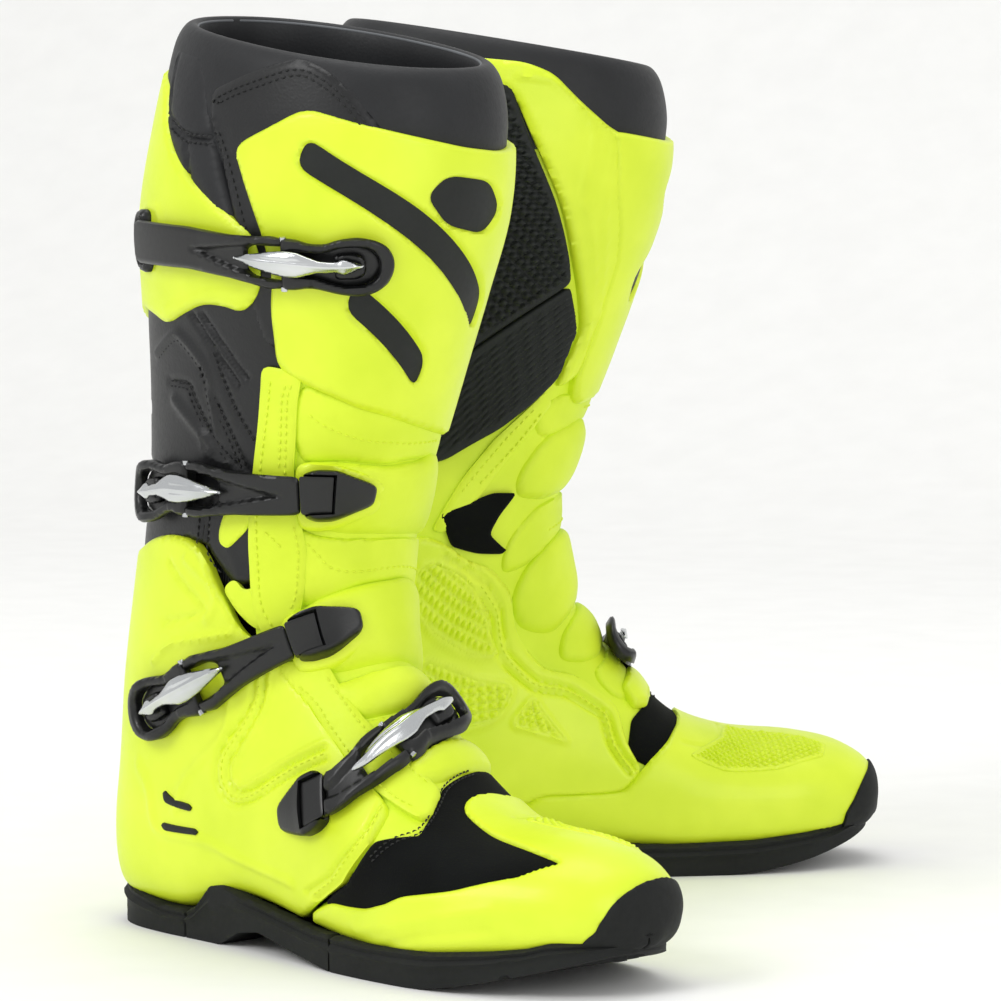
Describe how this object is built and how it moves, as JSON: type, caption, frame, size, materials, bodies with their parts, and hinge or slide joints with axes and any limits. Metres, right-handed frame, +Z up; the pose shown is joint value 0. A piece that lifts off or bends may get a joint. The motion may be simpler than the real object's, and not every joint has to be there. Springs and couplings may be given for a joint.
{
  "type": "riding boots",
  "caption": "Pair of tall off-road riding boots with hinged shafts, plastic armour plates, buckled straps with metal levers, and rubber soles.",
  "frame": {"origin": "middle of the pair on the ground, under the centre of its bounding box", "axes": "+X forward, between the turned-out toes; +Y to the wearer's left; +Z up"},
  "size_m": [0.2764, 0.4322, 0.3929],
  "materials": {
    "knit_fabric": "matte knit",
    "insole_foam": "matte foam",
    "yellow_plastic": "satin fluorescent yellow",
    "yellow_leather": "fine grain fluorescent yellow",
    "black_leather": "fine grain black",
    "black_suede": "black suede",
    "grip_rubber": "textured black rubber",
    "sole_rubber": "matte black rubber",
    "buckle_plastic": "satin black",
    "lever_aluminium": "bright brushed"
  },
  "bodies": {
    "feet": {"right_vamp": "black_suede", "right_toe_cap": "yellow_plastic", "right_foot_shell": "yellow_plastic", "right_foot_liner": "knit_fabric", "right_footbed": "insole_foam", "right_outsole_forefoot": "sole_rubber", "right_outsole_heel": "sole_rubber", "right_peg_insert": "sole_rubber", "right_receiver_3": "buckle_plastic", "right_keeper_3": "buckle_plastic", "right_receiver_4": "buckle_plastic", "right_keeper_4": "buckle_plastic", "left_vamp": "black_suede", "left_toe_cap": "yellow_plastic", "left_foot_shell": "yellow_plastic", "left_foot_liner": "knit_fabric", "left_footbed": "insole_foam", "left_outsole_forefoot": "sole_rubber", "left_outsole_heel": "sole_rubber", "left_peg_insert": "sole_rubber", "left_receiver_3": "buckle_plastic", "left_keeper_3": "buckle_plastic", "left_receiver_4": "buckle_plastic", "left_keeper_4": "buckle_plastic"},
    "right_shaft": {"right_collar": "knit_fabric", "right_grip_panel": "grip_rubber", "right_calf_plate": "yellow_plastic", "right_shin_plate": "yellow_plastic", "right_ankle_panel": "black_leather", "right_flex_panel": "yellow_leather", "right_receiver_1": "buckle_plastic", "right_keeper_1": "buckle_plastic", "right_receiver_2": "buckle_plastic", "right_keeper_2": "buckle_plastic"},
    "right_strap_1": {"right_strap_1": "buckle_plastic"},
    "right_lever_1": {"right_lever_1": "lever_aluminium"},
    "right_strap_2": {"right_strap_2": "buckle_plastic"},
    "right_lever_2": {"right_lever_2": "lever_aluminium"},
    "right_strap_3": {"right_strap_3": "buckle_plastic"},
    "right_lever_3": {"right_lever_3": "lever_aluminium"},
    "right_strap_4": {"right_strap_4": "buckle_plastic"},
    "right_lever_4": {"right_lever_4": "lever_aluminium"},
    "left_shaft": {"left_collar": "knit_fabric", "left_grip_panel": "grip_rubber", "left_calf_plate": "yellow_plastic", "left_shin_plate": "yellow_plastic", "left_ankle_panel": "black_leather", "left_flex_panel": "yellow_leather", "left_receiver_1": "buckle_plastic", "left_keeper_1": "buckle_plastic", "left_receiver_2": "buckle_plastic", "left_keeper_2": "buckle_plastic"},
    "left_strap_1": {"left_strap_1": "buckle_plastic"},
    "left_lever_1": {"left_lever_1": "lever_aluminium"},
    "left_strap_2": {"left_strap_2": "buckle_plastic"},
    "left_lever_2": {"left_lever_2": "lever_aluminium"},
    "left_strap_3": {"left_strap_3": "buckle_plastic"},
    "left_lever_3": {"left_lever_3": "lever_aluminium"},
    "left_strap_4": {"left_strap_4": "buckle_plastic"},
    "left_lever_4": {"left_lever_4": "lever_aluminium"}
  },
  "joints": [
    {"name": "right_ankle_flex", "type": "hinge", "parent": "feet", "child": "right_shaft", "pos_m": [-0.06339, -0.0907, 0.125], "axis": [0.4924, 0.8704, 0], "range_deg": [-8, 15], "stiffness_Nm_per_rad": 25, "deforming": ["right_flex_panel", "right_ankle_panel"]},
    {"name": "right_strap_1_swing", "type": "hinge", "parent": "right_shaft", "child": "right_strap_1", "pos_m": [-0.10765, -0.13804, 0.29867], "axis": [0.0233, 0.0723, -0.9971], "range_deg": [0, 60]},
    {"name": "right_lever_1_lift", "type": "hinge", "parent": "right_strap_1", "child": "right_lever_1", "pos_m": [0.00808, -0.18073, 0.29099], "axis": [0.0445, -0.2928, 0.9551], "range_deg": [0, 100]},
    {"name": "right_strap_2_swing", "type": "hinge", "parent": "right_shaft", "child": "right_strap_2", "pos_m": [-0.02814, -0.15882, 0.19468], "axis": [0.044, -0.1791, 0.9828], "range_deg": [0, 60]},
    {"name": "right_lever_2_lift", "type": "hinge", "parent": "right_strap_2", "child": "right_lever_2", "pos_m": [-0.11311, -0.12569, 0.19149], "axis": [0.0481, -0.1258, -0.9909], "range_deg": [0, 100]},
    {"name": "right_strap_3_swing", "type": "hinge", "parent": "feet", "child": "right_strap_3", "pos_m": [-0.03627, -0.1512, 0.13456], "axis": [-0.264, -0.0674, 0.9622], "range_deg": [0, 60]},
    {"name": "right_lever_3_lift", "type": "hinge", "parent": "right_strap_3", "child": "right_lever_3", "pos_m": [-0.11419, -0.12568, 0.10064], "axis": [0.3536, -0.1901, -0.9159], "range_deg": [0, 100]},
    {"name": "right_strap_4_swing", "type": "hinge", "parent": "feet", "child": "right_strap_4", "pos_m": [-0.01317, -0.17136, 0.07239], "axis": [0.24, -0.4625, -0.8535], "range_deg": [0, 60]},
    {"name": "right_lever_4_lift", "type": "hinge", "parent": "right_strap_4", "child": "right_lever_4", "pos_m": [0.02866, -0.12719, 0.1086], "axis": [-0.6157, 0.0668, 0.7851], "range_deg": [0, 100]},
    {"name": "left_ankle_flex", "type": "hinge", "parent": "feet", "child": "left_shaft", "pos_m": [-0.06339, 0.0907, 0.125], "axis": [-0.4924, 0.8704, 0], "range_deg": [-8, 15], "stiffness_Nm_per_rad": 25, "deforming": ["left_flex_panel", "left_ankle_panel"]},
    {"name": "left_strap_1_swing", "type": "hinge", "parent": "left_shaft", "child": "left_strap_1", "pos_m": [-0.10765, 0.13804, 0.29867], "axis": [-0.0233, 0.0723, 0.9971], "range_deg": [0, 60]},
    {"name": "left_lever_1_lift", "type": "hinge", "parent": "left_strap_1", "child": "left_lever_1", "pos_m": [0.00808, 0.18073, 0.29099], "axis": [-0.0445, -0.2928, -0.9551], "range_deg": [0, 100]},
    {"name": "left_strap_2_swing", "type": "hinge", "parent": "left_shaft", "child": "left_strap_2", "pos_m": [-0.02814, 0.15882, 0.19468], "axis": [-0.044, -0.1791, -0.9828], "range_deg": [0, 60]},
    {"name": "left_lever_2_lift", "type": "hinge", "parent": "left_strap_2", "child": "left_lever_2", "pos_m": [-0.11311, 0.12569, 0.19149], "axis": [-0.0481, -0.1258, 0.9909], "range_deg": [0, 100]},
    {"name": "left_strap_3_swing", "type": "hinge", "parent": "feet", "child": "left_strap_3", "pos_m": [-0.03627, 0.1512, 0.13456], "axis": [0.264, -0.0674, -0.9622], "range_deg": [0, 60]},
    {"name": "left_lever_3_lift", "type": "hinge", "parent": "left_strap_3", "child": "left_lever_3", "pos_m": [-0.11419, 0.12568, 0.10064], "axis": [-0.3536, -0.1901, 0.9159], "range_deg": [0, 100]},
    {"name": "left_strap_4_swing", "type": "hinge", "parent": "feet", "child": "left_strap_4", "pos_m": [-0.01317, 0.17136, 0.07239], "axis": [-0.24, -0.4625, 0.8535], "range_deg": [0, 60]},
    {"name": "left_lever_4_lift", "type": "hinge", "parent": "left_strap_4", "child": "left_lever_4", "pos_m": [0.02866, 0.12719, 0.1086], "axis": [0.6157, 0.0668, -0.7851], "range_deg": [0, 100]}
  ]
}
